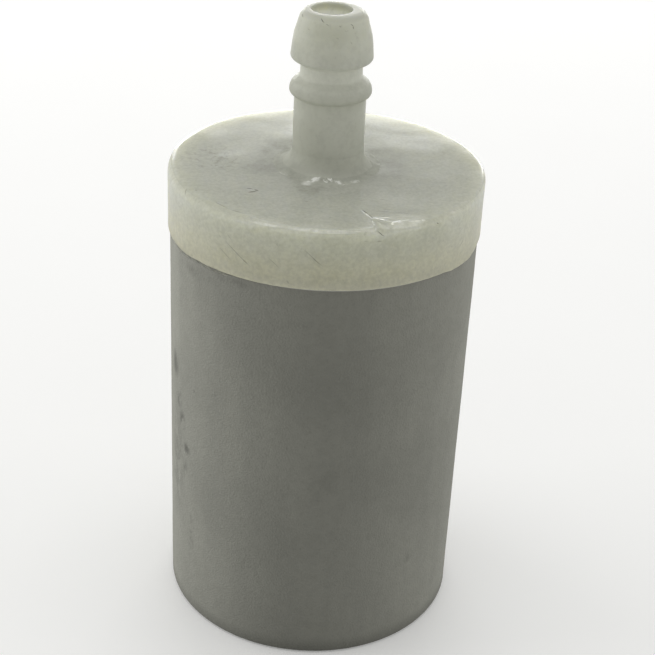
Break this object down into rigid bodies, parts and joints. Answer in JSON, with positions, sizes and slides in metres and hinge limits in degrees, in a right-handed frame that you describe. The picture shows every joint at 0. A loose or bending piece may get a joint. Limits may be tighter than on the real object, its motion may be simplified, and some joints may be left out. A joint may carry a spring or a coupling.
{
  "type": "pneumatic muffler",
  "caption": "Small porous exhaust silencer: a thick tube of sintered plastic under a round translucent cap with a barbed hose stem; air enters by the stem and seeps out through the tube wall.",
  "frame": {"origin": "centre of the lower face, on the muffler's axis", "axes": "+Z along the axis from the closed lower end to the barb's tip; X and Y are square to it"},
  "size_m": [0.028, 0.028, 0.0577],
  "materials": {
    "cap_plastic": "translucent natural polymer, softly glossy, scuffed",
    "weld_plastic": "glossy re-melted polymer bead",
    "porous_plastic": "matte sintered bead, fine grain",
    "core_plastic": "plain extruded tube",
    "felt": "pressed fibre felt"
  },
  "bodies": {
    "root": {"hose_barb": "cap_plastic", "stem_weld_bead": "weld_plastic", "end_cap": "cap_plastic", "cap_bond_ring": "weld_plastic", "porous_sleeve": "porous_plastic", "porous_end_disc": "porous_plastic", "end_bond_ring": "weld_plastic", "perforated_core": "core_plastic", "felt_liner": "felt"}
  },
  "joints": []
}
